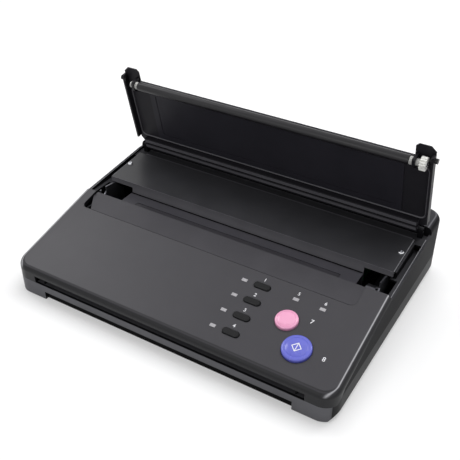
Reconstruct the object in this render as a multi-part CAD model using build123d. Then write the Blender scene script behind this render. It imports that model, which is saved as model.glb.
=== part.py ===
from build123d import *
import os
from math import acos, atan2, cos, degrees, pi, radians, sin, tan

os.makedirs("parts", exist_ok=True)

# Frame: +X right, +Y towards the back, +Z up, millimetres. The origin lies on the table under the
# middle of the case. The cover stands open.

# ---- case ----
case_width = 350.0
case_depth = 255.0
corner_radius = 16.0
wall = 2.4
foot_height = 0.8
foot_radius = 6.5
foot_sides = 12
foot_side_inset = 43.5
foot_front_inset = 17.0
foot_rear_inset = 24.0
floor_thickness = 2.4
tray_taper = 6.0
taper_top = 8.0
tray_rib_x = 62.0
tray_rib_inset = 45.0
panel_bottom = 17.5
parting_height = 24.0

# ---- document path ----
sheet_width = 216.0
bed_thickness = 2.0
slot_top = 25.0
slot_inset = 27.0
path_height = 6.0
guide_thickness = 1.2
guide_inset = 8.5
finger_recess_inset = 38.0
finger_recess_top = 10.0
finger_recess_depth = 6.0
exit_allowance = 10.0

# ---- control panel ----
panel_slope = 12.6
panel_level = 47.0
panel_level_y = -60.0
panel_rear = -36.5
arm_rear = -12.0
left_arm_width = 14.0
right_arm_width = 25.0
bay_corner_radius = 6.0
bay_rim = 1.8
bay_rim_depth = 5.0
front_edge_radius = 6.0
skirt_front = (-118.0, -108.0, -48.0)
skirt_heights = (29.5, 45.3)

# ---- ramp, trough and deck ----
ramp_rise = 2.8
ramp_rear = -9.5
ramp_thickness = 2.0
ramp_clearance = 0.4
ramp_lip = 1.5
ramp_corner_cut = (12.5, 21.0)
bracket_notch = 5.5
trough_level = 47.9
trough_rear = 17.0
trough_inset = 39.0
trough_wall = 1.5
deck_front = 18.5
deck_rear = 71.0
deck_level = 59.5
deck_slope = 4.6
deck_inset = 11.0
deck_thickness = 2.0
deck_screw_inset = 4.1
deck_screw_y = 47.3
ledge_level = 48.0

# ---- rear housing and hinge ----
rear_top = 69.5
rear_top_radius = 7.0
rear_front = 90.0
hinge_y = 86.0
hinge_z = 66.5
hinge_floor = 58.5
pin_radius = 1.5
pin_length = 16.0
hinge_corner = 9.6
ear_width = 5.0

# ---- cover ----
cover_side_inset = 3.4
cover_reach = 91.0
cover_plate = 1.8
cover_outer = 3.1
cover_inner = -4.9
skirt_wall = 2.2
cover_open_lean = 12.57
cover_closed_dip = 5.0
tab_width = 19.1
tab_reach = 105.0
tab_chamfer = 5.0
corner_start = 4.4
liner_hinge_gap = 17.0
liner_front_gap = 6.0
liner_side_gap = 10.0
liner_border = 7.0
latch_radius = 2.5
latch_reach = 92.6
latch_lift = -1.4
latch_proud = 3.2
latch_clearance = 0.3

# ---- platen ----
platen_reach = 89.8
platen_drop = -5.6
platen_radius = 4.6
platen_end_gap = 3.5
shaft_radius = 2.5
bush_radius = 3.3
bush_sides = 12
bush_proud = 0.6
running_gap = 0.05
lug_inset = 1.0
lug_width = 3.0

# ---- gears ----
gear_module = 0.8
gear_width = 5.6
gear_gap = 1.3
pressure_angle = 25.0
tooth_thinning = 0.09
centre_allowance = 0.15
platen_teeth = 15
idler_teeth = 20
idler_turn = -95.0
print_motor_turn = -30.0
scan_motor_turn = 50.6
idler_pin_radius = 1.5
pinion_teeth = 10
feed_teeth = 28

# ---- side frames ----
frame_inset = 17.4
sheet = 1.5
body_gap = 0.3
frame_front = -74.0
frame_rear = 30.0
frame_low = 38.0
frame_ledge = 48.0
frame_top = 57.0

# ---- feed roller and scanner ----
feed_y = -58.0
feed_radius = 7.0
feed_allowance = 4.0
feed_shaft_radius = 3.0
feed_bush_radius = 4.2
feed_height = 7.3
sensor_allowance = 10.0
sensor_depth = 13.0
glass_thickness = 1.0
sensor_bottom = 5.6

# ---- print head ----
head_allowance = 20.0
head_front = -8.3
head_rear = 4.0
head_top = 48.2
head_gap = 0.4
heatsink_front = -8.6
heatsink_rear = 14.6
heatsink_top = 45.5
bead_height = 0.5
heatsink_bottom = 36.0
ceramic_thickness = 1.0
beam_level = 31.5

# ---- motors and boards ----
print_motor_radius = 11.0
scan_motor_radius = 10.0
motor_length = 14.0
motor_shaft_radius = 1.0
board_thickness = 1.6
boards_level = 27.0
boards_front = 30.0
boards_depth = 70.0
boards_split_x = 34.0
boards_space = 16.0
main_board_width = 142.0
power_board_width = 90.0
post_inset = 4.0
board_gap = 7.0
panel_board_width = 122.0
panel_board_depth = 68.0
panel_board_inset = 84.0
panel_board_v = -16.0

# ---- keys and lamps, in from the right side and along the slope from the reference line ----
key_inset = 110.1
key_pitch = 19.1
key_count = 4
first_row = 9.5
key_length = 17.0
key_width = 6.6
key_height = 1.7
key_travel = 0.8
key_clearance = 0.35
lamp_inset = 128.7
lamp_length = 5.6
lamp_width = 3.3
power_lamp_inset = 75.5
error_lamp_inset = 49.0
stop_inset = 72.0
stop_v = -15.0
stop_radius = 10.7
copy_inset = 50.5
copy_v = -38.0
copy_radius = 13.6
button_sides = 28
button_height = 3.4
button_travel = 1.5
flange_width = 1.2
flange_thickness = 1.0
tact_height = 2.7

# ---- rear panel ----
inlet_inset = 57.0
inlet_z = 42.0
inlet_width = 28.0
inlet_height = 20.5
inlet_depth = 24.0
switch_inset = 97.0
switch_width = 13.6
switch_height = 19.6
rocker_axis_depth = 6.0

# ---- case screws ----
case_screw_inset = 13.0
case_screw_front_inset = 39.5
case_screw_rear_inset = 21.5
case_screw_level = 12.0
boss_radius = 4.4
post_height = 7.0

# ---- derived places ----
half_width = case_width / 2
front = -case_depth / 2
rear = case_depth / 2
slot_width = case_width - 2 * slot_inset
guide_half_width = slot_width / 2 - guide_inset
finger_recess_width = case_width - 2 * finger_recess_inset
exit_width = sheet_width + exit_allowance
sensor_width = sheet_width + sensor_allowance
feed_length = sheet_width + feed_allowance
head_length = sheet_width + head_allowance
bay_left = -half_width + left_arm_width
bay_right = half_width - right_arm_width
trough_width = case_width - 2 * trough_inset
deck_width = case_width - 2 * deck_inset
deck_screw_x = deck_width / 2 - deck_screw_inset
cover_width = case_width - 2 * cover_side_inset
barrel_length = cover_width - 2 * hinge_corner
tab_inner_x = cover_width / 2 - tab_width
lug_inner_x = tab_inner_x + lug_inset
platen_length = 2 * (lug_inner_x - platen_end_gap)
frame_inner_x = half_width - frame_inset
frame_outer_x = frame_inner_x + sheet
bush_end = frame_outer_x + bush_proud
gear_inner_x = frame_outer_x + gear_gap
key_x = half_width - key_inset
stop_x = half_width - stop_inset
copy_x = half_width - copy_inset
panel_board_x = half_width - panel_board_inset
inlet_x = -half_width + inlet_inset
switch_x = -half_width + switch_inset
rocker_axis_y = rear - rocker_axis_depth
bed_top = panel_bottom
guide_bottom = bed_top + path_height
guide_top = guide_bottom + guide_thickness
panel_tan = tan(radians(panel_slope))
deck_tan = tan(radians(deck_slope))
open_turn = -(90 - cover_open_lean)
cover_plate_inner = cover_outer - cover_plate
tray_bottom = foot_height
tray_floor = tray_bottom + floor_thickness


def panel_z(y):
    """Height of the panel's slope at y."""
    return panel_level + (y - panel_level_y) * panel_tan


def deck_z(y):
    """Height of the deck's top at y."""
    return deck_level + (y - deck_front) * deck_tan


def closed_place(reach, lift):
    """Y and Z, with the cover shut, of a point that lies reach from the hinge and lift above its axis."""
    dip = radians(cover_closed_dip)
    return (
        hinge_y - reach * cos(dip) - lift * sin(dip),
        hinge_z - reach * sin(dip) + lift * cos(dip),
    )


platen_y, platen_z = closed_place(platen_reach, platen_drop)


# ---- shape helpers ----
def block(x0, x1, y0, y1, z0, z1):
    return Pos((x0 + x1) / 2, (y0 + y1) / 2, (z0 + z1) / 2) * Box(x1 - x0, y1 - y0, z1 - z0)


def prism(points, x0, x1):
    """A side outline in Y and Z, drawn out along X."""
    face = make_face(Plane.YZ * Polyline(*points, close=True))
    return Pos(x0, 0, 0) * extrude(face, amount=x1 - x0, dir=(1, 0, 0))


def rod(y, z, radius, x0, x1):
    """A round bar along X."""
    return Pos((x0 + x1) / 2, y, z) * Rot(0, 90, 0) * Cylinder(radius, x1 - x0)


def many_sided(radius, sides=10):
    """A small round that nothing turns in, drawn with flat sides about its circle."""
    return RegularPolygon(radius, sides, major_radius=False)


def flat_sided_rod(y, z, radius, x0, x1, sides=10):
    """A bar along X with flat sides about its circle."""
    return Pos(x0, y, z) * Rot(0, 90, 0) * extrude(many_sided(radius, sides), amount=x1 - x0)


def plan_solid(inset, z0, z1):
    """The case's rounded plan outline, drawn in by inset, between two heights."""
    outline = RectangleRounded(
        case_width - 2 * inset, case_depth - 2 * inset, corner_radius - inset
    )
    return Pos(0, 0, z0) * extrude(outline, amount=z1 - z0)


def mirrored(shape):
    """A shape together with its mirror image on the other side of the middle."""
    return shape + mirror(shape, about=Plane.YZ)


panel_plane = Plane(
    origin=(0, panel_level_y, panel_level),
    x_dir=(1, 0, 0),
    z_dir=(0, -sin(radians(panel_slope)), cos(radians(panel_slope))),
)


def on_panel(shape, x, v, lift=0.0):
    """Places a shape modelled about the origin at x, v on the panel's slope."""
    return panel_plane * Pos(x, v, lift) * shape


def cover_place(shape):
    """From the cover's own frame, closed and level about the hinge axis, to its open place."""
    return Pos(0, hinge_y, hinge_z) * Rot(open_turn, 0, 0) * shape


# ---- case outlines ----
def seam_line():
    """The joint between the side walls and what sits on them, from the front to the hinge."""
    lid_front = closed_place(hinge_y - arm_rear, cover_inner)[1]
    lid_rear = closed_place(3.0, cover_inner)[1]
    return [
        (front, panel_bottom),
        (skirt_front[0], panel_bottom),
        (skirt_front[1], skirt_heights[0]),
        (skirt_front[2], skirt_heights[1]),
        (arm_rear, lid_front),
        (hinge_y - 3.0, lid_rear),
    ]


def above_seam():
    """The space over the seam line, which the tray leaves to the parts above it."""
    points = seam_line()
    points[0] = (front - 5, points[0][1])
    top = rear_top + 50
    points += [(rear_front, points[-1][1]), (rear_front, top), (front - 5, top)]
    return prism(points, -half_width - 5, half_width + 5)


def tray_form(inset, bottom):
    """The lower case, whose sides lean in towards the foot."""
    half = half_width - inset
    foot = half - tray_taper
    section = Polyline(
        (-foot, bottom),
        (foot, bottom),
        (half, taper_top),
        (half, parting_height),
        (-half, parting_height),
        (-half, taper_top),
        close=True,
    )
    across = extrude(make_face(Plane.XZ * section), amount=case_depth, both=True)
    return across & plan_solid(inset, bottom, parting_height)


def bottom_tray():
    """The lower case: floor, side walls, finger recess, ribs, vents and screw bosses."""
    tray = tray_form(0, tray_bottom) - tray_form(wall, tray_floor)
    recess_half = finger_recess_width / 2
    recess_back = front + finger_recess_depth
    housing = block(
        -recess_half - wall,
        recess_half + wall,
        front,
        recess_back + wall,
        tray_bottom,
        finger_recess_top + wall,
    )
    tray = tray + (housing & tray_form(0, tray_bottom))
    tray -= block(-recess_half, recess_half, front - 1, recess_back, 0, finger_recess_top)
    tray -= above_seam()
    leave = exit_width / 2
    tray -= block(-leave, leave, rear - wall - 2, rear + 1, bed_top, parting_height + 1)
    for x in (tray_rib_x, half_width - tray_rib_inset):
        for y0, y1 in ((recess_back + wall, feed_y - 12), (feed_y + 12, rear - wall - 0.5)):
            tray += mirrored(block(x - 1, x + 1, y0, y1, tray_floor, bed_top - bed_thickness))
    for k in range(6):
        x = (k - 2.5) * 30
        tray -= block(x - 2.0, x + 2.0, boards_front + 10, boards_front + 54, 0, tray_floor + 0.1)
    boss_height = parting_height - tray_bottom
    for x, y in case_screw_places():
        boss = Pos(x, y, tray_bottom) * extrude(many_sided(boss_radius), amount=boss_height)
        tray += boss & tray_form(0, tray_bottom)
        tray -= Pos(x, y, 0) * extrude(many_sided(3.1), amount=case_screw_level)
        tray -= Pos(x, y, 0) * extrude(many_sided(1.8, 6), amount=parting_height + 1)
    return tray


def foot_places():
    x = half_width - foot_side_inset
    return [(side * x, y) for side in (-1, 1) for y in (front + foot_front_inset, rear - foot_rear_inset)]


def rubber_feet():
    foot = extrude(many_sided(foot_radius, foot_sides), amount=foot_height)
    return [Pos(x, y, 0) * foot for x, y in foot_places()]


def housing_profile():
    """The side outline of the upper case in Y and Z."""
    line = [p for p in seam_line() if p[1] > parting_height]
    start_y = skirt_front[0] + (skirt_front[1] - skirt_front[0]) * (
        (parting_height - panel_bottom) / (skirt_heights[0] - panel_bottom)
    )
    return (
        [(start_y, parting_height)]
        + line
        + [
            (rear_front - 0.6, line[-1][1]),
            (rear_front, line[-1][1] + 1.0),
            (rear_front, rear_top),
            (rear, rear_top),
            (rear, parting_height),
        ]
    )


def side_housing():
    """The upper case: both side walls, the hinge floor and the rear box with its openings."""
    outer = prism(housing_profile(), -half_width, half_width) & plan_solid(0, 0, 90)
    top_edges = [
        e
        for e in outer.edges()
        if abs(e.center().Z - rear_top) < 0.01 and e.center().Y > rear_front + 0.5
    ]
    outer = fillet(top_edges, rear_top_radius)
    inside = plan_solid(wall, parting_height - 1, 90)
    back = rear - wall
    under_top = rear_top - wall
    under_floor = hinge_floor - wall
    low_room = prism(
        [(front, 0), (back, 0), (back, under_floor), (front, under_floor)], -half_width, half_width
    )
    top_room = prism(
        [
            (rear_front + wall, 0),
            (back, 0),
            (back, under_top - 5),
            (back - 5, under_top),
            (rear_front + wall, under_top),
        ],
        -half_width + wall + 4,
        half_width - wall - 4,
    )
    front_room = prism(
        [(front, 0), (deck_rear, 0), (deck_rear, 90), (front, 90)], -half_width, half_width
    )
    hinge_room = prism(
        [
            (deck_rear - 0.1, hinge_floor),
            (rear_front, hinge_floor),
            (rear_front, 90),
            (deck_rear - 0.1, 90),
        ],
        -half_width,
        half_width,
    )
    housing = outer - (inside & (low_room + top_room + front_room + hinge_room))
    housing += mirrored(deck_ledge())
    housing += mirrored(hinge_ear())
    for x, y in case_screw_places():
        post = Pos(x, y, parting_height) * extrude(many_sided(boss_radius), amount=post_height)
        side = 1 if x > 0 else -1
        x0, x1 = sorted((x, side * (half_width - wall + 0.1)))
        post += block(x0, x1, y - 1.5, y + 1.5, parting_height, parting_height + post_height)
        core = Pos(x, y, parting_height - 1) * extrude(many_sided(1.4, 6), amount=5)
        housing += post - core
    for x, y, z, w, h in rear_cutouts():
        housing -= block(x - w / 2, x + w / 2, y - wall - 3, y + 1, z - h / 2, z + h / 2)
    return housing


def rear_cutouts():
    """Centre, width and height of the openings in the back wall."""
    return [
        (inlet_x, rear, inlet_z, inlet_width, inlet_height),
        (switch_x, rear, inlet_z, switch_width, switch_height),
    ]


def deck_ledge():
    """The shelf on the right wall beside the deck, the rail under its edge and its screw boss."""
    half = deck_width / 2
    inner_wall = half_width - wall
    level = ledge_level
    under = [(y, deck_z(y) - deck_thickness) for y in (deck_front, deck_rear)]
    start = deck_front + deck_thickness + 1.0
    end = deck_rear - deck_thickness - 0.3
    rail = prism(
        [
            (start, level),
            (start, deck_z(start) - deck_thickness),
            (end, deck_z(end) - deck_thickness),
            (end, level),
        ],
        half - 3.0,
        half + 2.0,
    )
    shelf = block(half - 3.0, inner_wall + 0.1, deck_front, deck_rear + wall, level, level + wall)
    front_shelf = block(half + 4.5, inner_wall + 0.1, arm_rear, deck_front, level, level + wall)
    column = Pos(deck_screw_x, deck_screw_y, level - 2) * extrude(many_sided(4.2), amount=30)
    boss = column & prism([(deck_front, 0)] + under + [(deck_rear, 0)], half - 12, half + 2)
    return rail + shelf + front_shelf + boss - deck_screw_axis(1.3, 11.0)


def deck_screw_axis(radius, depth):
    """A rod on the right deck screw's axis, from above the deck to depth below its top."""
    core = Pos(0, 0, -depth) * extrude(many_sided(radius), amount=depth + 8.0)
    return Pos(deck_screw_x, deck_screw_y, deck_z(deck_screw_y)) * Rot(deck_slope, 0, 0) * core


def hinge_ear():
    """The lug that holds a hinge pin at the right end of the cover's barrel."""
    x0 = barrel_length / 2 + 0.5
    x1 = x0 + ear_width
    disc = flat_sided_rod(hinge_y, hinge_z, cover_outer, x0, x1, 16)
    neck = block(x0, x1, hinge_y - 2.6, hinge_y + 2.6, hinge_floor, hinge_z)
    return disc + neck - flat_sided_rod(hinge_y, hinge_z, pin_radius + 0.02, x0 - 1, x1 + 1, 12)


def hinge_pins():
    x1 = barrel_length / 2 + 0.5 + ear_width
    pin = rod(hinge_y, hinge_z, pin_radius, x1 - pin_length, x1)
    return [pin, mirror(pin, about=Plane.YZ)]


# ---- control panel ----
def panel_form(inset):
    """The sloping cover as a solid, drawn in by inset on its front, sides and top."""
    drop = inset / cos(radians(panel_slope))
    low = panel_bottom if inset == 0 else 0
    end = arm_rear - inset
    points = [
        (front, low),
        (front, panel_z(front) - drop),
        (end, panel_z(end) - drop),
        (end, low),
    ]
    form = prism(points, -half_width, half_width) & plan_solid(inset, low, 90)
    top = [
        e
        for e in form.edges()
        if abs(e.center().Z - panel_z(e.center().Y) + drop) < 0.6 and e.center().Y < end - 1
    ]
    if inset > 0:
        return chamfer(top, (front_edge_radius - inset) * 0.6)
    return fillet(top, front_edge_radius)


def key_places():
    return [(key_x, first_row - k * key_pitch) for k in range(key_count)]


def lamp_places():
    rows = [(half_width - lamp_inset, v) for _, v in key_places()]
    return rows + [(half_width - inset, first_row) for inset in (power_lamp_inset, error_lamp_inset)]


def slot_outline(length, width):
    """A long outline with round ends, each drawn with eight chords."""
    radius = width / 2
    turns = [radians(a) for a in (-78.75, -56.25, -33.75, -11.25, 11.25, 33.75, 56.25, 78.75)]
    right = [(length / 2 - radius + radius * cos(a), radius * sin(a)) for a in turns]
    left = [(-x, -y) for x, y in right]
    return make_face(Polyline(*right, *left, close=True))


def panel_bay(grow):
    """The rounded opening behind the panel, between its two arms."""
    width = bay_right - bay_left + 2 * grow
    depth = 2 * (arm_rear - panel_rear + grow)
    outline = RectangleRounded(width, depth, bay_corner_radius + grow)
    return Pos((bay_left + bay_right) / 2, arm_rear, 20) * extrude(outline, amount=70)


def panel_cover():
    """The sloping front shell with the bay between its arms and the key and lamp openings."""
    cover = panel_form(0) - panel_form(wall)
    below = [(skirt_front[0], 0)] + seam_line()[1:5]
    below += [(arm_rear + 1, panel_z(front)), (arm_rear + 1, 0)]
    skirt = prism(
        [
            (front, panel_z(front) - bay_rim_depth),
            (front, panel_z(front) - 0.5),
            (arm_rear, panel_z(arm_rear) - 0.5),
            (arm_rear, panel_z(arm_rear) - bay_rim_depth),
        ],
        -half_width,
        half_width,
    )
    cover += skirt & (panel_bay(bay_rim) - panel_bay(0))
    cover -= panel_bay(0)
    cover -= prism(below, -half_width - 1, half_width + 1)
    mouth = slot_width / 2
    cover -= block(-mouth, mouth, front - 1, front + wall + 1, panel_bottom - 1, slot_top)
    for x, v in key_places():
        hole = slot_outline(key_length + 2 * key_clearance, key_width + 2 * key_clearance)
        cover -= on_panel(extrude(hole, amount=8, both=True), x, v)
    for x, v in lamp_places():
        cover -= on_panel(extrude(Rectangle(lamp_length, lamp_width), amount=8, both=True), x, v)
    for x, v, radius in ((stop_x, stop_v, stop_radius), (copy_x, copy_v, copy_radius)):
        hole = many_sided(radius + key_clearance, button_sides)
        cover -= on_panel(extrude(hole, amount=8, both=True), x, v)
    for x, v in board_posts():
        post = extrude(RegularPolygon(2.8, 6), amount=board_gap + 0.4)
        cover += on_panel(post, x, v, -wall - board_gap)
    return cover


def board_posts():
    across = panel_board_width / 2 - post_inset
    along = panel_board_depth / 2 - post_inset
    return [(panel_board_x + i * across, panel_board_v + j * along) for i in (-1, 1) for j in (-1, 1)]


def panel_board():
    board = extrude(Rectangle(panel_board_width, panel_board_depth), amount=-board_thickness)
    return on_panel(board, panel_board_x, panel_board_v, -wall - board_gap)


def lamp_windows():
    """Light pipes that stand on the panel board and end flush with the panel."""
    height = wall + board_gap + 0.2
    pipe = Box(
        lamp_length - 0.1, lamp_width - 0.1, height, align=(Align.CENTER, Align.CENTER, Align.MAX)
    )
    return [on_panel(pipe, x, v, 0.2) for x, v in lamp_places()]


def tact_switches():
    height = tact_height - 0.7
    body = Box(6, 6, height, align=(Align.CENTER, Align.CENTER, Align.MIN))
    switch = body + Pos(0, 0, height) * extrude(many_sided(1.6, 6), amount=0.7)
    level = -wall - board_gap
    places = key_places() + [(stop_x, stop_v), (copy_x, copy_v)]
    return [on_panel(switch, x, v, level) for x, v in places]


def button_stem(travel):
    """From the flange down to just clear of the switch at full travel."""
    return board_gap - tact_height - travel - body_gap - body_gap - flange_thickness


def key_cap():
    cap = extrude(slot_outline(key_length, key_width), amount=wall + key_height + body_gap)
    cap = chamfer(cap.edges().group_by(Axis.Z)[-1], 0.7)
    cap = Pos(0, 0, -wall - body_gap) * cap
    flange = Rectangle(key_length + 2 * flange_width, key_width + 2 * flange_width)
    base = Pos(0, 0, -wall - body_gap - flange_thickness) * extrude(flange, flange_thickness)
    stem_length = button_stem(key_travel)
    stem_end = -wall - body_gap - flange_thickness - stem_length
    stem = Pos(0, 0, stem_end) * extrude(Rectangle(3.6, 3.6), amount=stem_length)
    return cap + base + stem


def round_button(radius, height):
    """A push button with a bevelled rim and the flange that keeps it in the panel."""
    low = -wall - body_gap
    stem_end = low - flange_thickness - button_stem(button_travel)
    cap = extrude(many_sided(radius, button_sides), amount=height - low + 0.1)
    cap = chamfer(cap.edges().group_by(Axis.Z)[-1], 0.8)
    flange = extrude(many_sided(radius + flange_width - 0.6, 12), amount=flange_thickness)
    stem = extrude(many_sided(2.5), amount=low - stem_end)
    pieces = ((cap, low - 0.1), (flange, low - flange_thickness), (stem, stem_end))
    return Part() + [Pos(0, 0, level) * piece for piece, level in pieces]


# ---- ramp, trough and deck ----
def exit_ramp():
    """The sloping apron that the finished sheet slides out over."""
    left = bay_left + ramp_clearance
    right = bay_right - ramp_clearance
    front_z = panel_z(panel_rear)
    rear_z = front_z + ramp_rise
    y0 = panel_rear
    plate = prism(
        [
            (y0, front_z - ramp_thickness),
            (y0, front_z),
            (ramp_rear, rear_z),
            (ramp_rear, trough_level),
            (ramp_rear - ramp_lip, trough_level),
            (ramp_rear - ramp_lip, rear_z - ramp_thickness),
        ],
        left,
        right,
    )
    plate &= panel_bay(-ramp_clearance)
    across, along = ramp_corner_cut
    corner = [(left - 1, y0 + along), (left + across, y0 - 1), (left - 1, y0 - 1)]
    cut = make_face(Polyline(*corner, close=True))
    plate -= Pos(0, 0, 30) * extrude(cut, amount=60)
    notch = lug_inner_x - bracket_notch
    return plate - block(left - 1, -notch, ramp_rear - ramp_lip - 0.1, 0, 0, rear_z - ramp_thickness)


def trough_floor():
    """The floor between ramp and deck, with the window that the print head fills."""
    half = trough_width / 2
    y0 = ramp_rear - ramp_lip
    top = trough_level
    channel = block(-half, half, y0, trough_rear, guide_top, top)
    channel -= block(
        -half - 1, half + 1, y0 + trough_wall, trough_rear - trough_wall, guide_top - 1, top - trough_wall
    )
    window = block(
        -head_length / 2 - head_gap,
        head_length / 2 + head_gap,
        head_front - head_gap,
        head_rear + head_gap,
        top - 3,
        top + 1,
    )
    return channel - window


def rear_deck():
    """The plate behind the trough, with its down-turned front wall."""
    half = deck_width / 2
    foot = trough_level - 6
    wall_foot_y = trough_rear + 0.9
    points = [
        (wall_foot_y, foot),
        (wall_foot_y, trough_level),
        (deck_front, deck_level),
        (deck_rear, deck_z(deck_rear)),
        (deck_rear, hinge_floor + 0.4),
        (deck_rear - deck_thickness, hinge_floor + 0.4),
        (deck_rear - deck_thickness, deck_z(deck_rear - deck_thickness) - deck_thickness),
        (deck_front + deck_thickness, deck_z(deck_front + deck_thickness) - deck_thickness),
        (wall_foot_y + deck_thickness, trough_level),
        (wall_foot_y + deck_thickness, foot),
    ]
    deck = prism(points, -half, half)
    below = block(trough_width / 2 - 0.4, half + 1, 0, deck_front + 4, 0, trough_level + 6)
    deck -= mirrored(below)
    return deck - mirrored(deck_screw_axis(1.5, 8.0))


def pan_screw(head_radius, head_height, shank_radius, length):
    """A cross-recessed pan head screw, its head standing on the origin."""
    head = extrude(many_sided(head_radius, 16), amount=head_height)
    head = chamfer(head.edges().group_by(Axis.Z)[-1], head_height * 0.45)
    shank = Pos(0, 0, -length) * extrude(many_sided(shank_radius), amount=length)
    cross = Box(head_radius * 1.1, 0.6, 1.4) + Box(0.6, head_radius * 1.1, 1.4)
    return head + shank - Pos(0, 0, head_height) * cross


def deck_screws():
    screw = pan_screw(2.6, 1.6, 1.25, 9.0)
    tilt = Rot(deck_slope, 0, 0)
    z = deck_z(deck_screw_y)
    return [Pos(x, deck_screw_y, z) * tilt * screw for x in (-deck_screw_x, deck_screw_x)]


# ---- cover and what it carries, in the cover's own frame: x, -reach, lift ----
def tab_outline():
    """Half of the cover's outline, on the right, with the round corner beside the hinge."""
    half = cover_width / 2
    hinge_x = barrel_length / 2
    sweep = half - hinge_x
    rounding = [
        (hinge_x + sweep * sin(radians(a)), -corner_start - sweep * (1 - cos(radians(a))))
        for a in (0, 22.5, 45, 67.5, 90)
    ]
    return Polyline(
        (0, 0),
        (hinge_x, 0),
        *rounding,
        (half, -tab_reach + tab_chamfer),
        (half - tab_chamfer, -tab_reach),
        (tab_inner_x + 3, -tab_reach),
        (tab_inner_x, -tab_reach + 3),
        (tab_inner_x, -cover_reach),
        (0, -cover_reach),
        close=True,
    )


def cover_shell():
    """The hinged cover: plate, side walls, stiffening bars and the hinge barrel."""
    half = cover_width / 2
    hinge_x = barrel_length / 2
    plate = extrude(make_face(tab_outline()), amount=cover_outer)
    rim = [e for e in plate.edges().group_by(Axis.Z)[-1] if e.center().X > 1 and e.center().Y < -3]
    plate = chamfer(rim, 0.9)
    plate -= block(-1, half + 1, -tab_reach - 1, 1, -1, cover_plate_inner)
    plate += block(half - skirt_wall, half, -latch_reach - 5, -14, cover_inner, cover_plate_inner + 0.2)
    plate += block(0, tab_inner_x, -cover_reach, -cover_reach + 2, -0.5, cover_plate_inner + 0.2)
    for y0, y1 in ((-6.5, -2.0), (-13.5, -8.5)):
        bar = block(0, hinge_x, y0, y1, cover_inner, cover_plate_inner + 0.2)
        lower = [e for e in bar.edges().group_by(Axis.Z)[0] if abs(e.center().X - hinge_x / 2) < 1]
        plate += chamfer(lower, 0.6)
    hole_radius = latch_radius + latch_clearance
    hole = flat_sided_rod(-latch_reach, latch_lift, hole_radius, half - skirt_wall - 1, half + 1, 16)
    plate -= hole
    plate += rod(0, 0, cover_outer, 0, hinge_x)
    bore_from = hinge_x + 0.5 + ear_width - pin_length - 0.5
    plate -= flat_sided_rod(0, 0, pin_radius + running_gap, bore_from, hinge_x + 1, 12)
    return cover_place(mirrored(plate))


def clipped_rectangle(width, depth, clip):
    """A rectangle with its corners cut off."""
    return chamfer(Rectangle(width, depth).vertices(), clip)


def cover_liner():
    """The thin dark sheet inside the cover, with its shallow pressed border."""
    width = 2 * (lug_inner_x - liner_side_gap)
    depth = cover_reach - liner_hinge_gap - liner_front_gap
    middle = -liner_hinge_gap - depth / 2
    liner = extrude(clipped_rectangle(width, depth, 2.5), amount=1.0)
    inner = clipped_rectangle(width - 2 * liner_border, depth - 2 * liner_border, 2.0)
    liner -= Pos(0, 0, -0.4) * extrude(inner, amount=0.8)
    return cover_place(Pos(0, middle, cover_plate_inner - 1.0) * liner)


def platen_brackets():
    """The lugs inside the cover that carry the platen in its bushes."""
    x0 = lug_inner_x
    x1 = lug_inner_x + lug_width
    foot = -platen_reach + 9.8
    outline = [
        (foot, cover_plate_inner),
        (foot, platen_drop + 3.6),
        (-platen_reach + 5.3, platen_drop - 3.4),
        (-platen_reach + 3.8, platen_drop - 4.6),
        (-platen_reach - 4.2, platen_drop - 4.6),
        (-platen_reach - 5.4, platen_drop - 2.8),
        (-platen_reach - 5.6, cover_plate_inner),
    ]
    bracket = prism(outline, x0, x1)
    bracket += block(x1 - 10, x1, foot - 6, foot, cover_plate_inner - 1.2, cover_plate_inner)
    bracket -= flat_sided_rod(-platen_reach, platen_drop, bush_radius + 0.02, x0 - 1, x1 + 1, bush_sides)
    bracket = cover_place(bracket)
    return [bracket, mirror(bracket, about=Plane.YZ)]


def platen_bushes():
    start = platen_length / 2 + 0.4
    bush = flat_sided_rod(-platen_reach, platen_drop, bush_radius, start, bush_end, bush_sides)
    bush += flat_sided_rod(-platen_reach, platen_drop, bush_radius + 0.6, start, lug_inner_x, bush_sides)
    bore = shaft_radius + running_gap
    bush -= flat_sided_rod(-platen_reach, platen_drop, bore, start - 1, bush_end + 1, bush_sides)
    bush = cover_place(bush)
    return [bush, mirror(bush, about=Plane.YZ)]


def platen_rubber():
    half = platen_length / 2
    sleeve = rod(-platen_reach, platen_drop, platen_radius, -half, half)
    sleeve -= flat_sided_rod(-platen_reach, platen_drop, shaft_radius, -half - 1, half + 1, 12)
    return cover_place(sleeve)


def platen_shaft():
    end = gear_inner_x + gear_width + 0.4
    return cover_place(rod(-platen_reach, platen_drop, shaft_radius, -bush_end - 0.8, end))


def latch_knob():
    """The push knob in the cover's right side, with its inner flange."""
    half = cover_width / 2
    inner = half - skirt_wall - latch_clearance
    flange_x = inner - 0.9
    stem = rod(-latch_reach, latch_lift, latch_radius, flange_x, half + latch_proud)
    flange = flat_sided_rod(-latch_reach, latch_lift, latch_radius + 0.9, flange_x, inner)
    near = latch_radius + 2.5
    flange &= block(
        flange_x, inner, -latch_reach - near, -latch_reach + near, cover_inner, cover_plate_inner - 0.2
    )
    return cover_place(stem + flange)


# ---- gears ----
def pitch_radius(teeth):
    return teeth * gear_module / 2


def gear_centre(y, z, teeth_a, teeth_b, turn):
    """Where the axis of a gear meshing with the one at y, z lies, turn degrees up from +Y."""
    distance = pitch_radius(teeth_a) + pitch_radius(teeth_b) + centre_allowance
    return y + distance * cos(radians(turn)), z + distance * sin(radians(turn))


def mesh_phase(phase, centre, teeth, other, other_teeth):
    """The tooth angle of a second gear that puts its gaps on the first gear's teeth."""
    line = atan2(other[1] - centre[1], other[0] - centre[0])
    return line + pi + pi / other_teeth - (phase - line) * teeth / other_teeth


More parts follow.
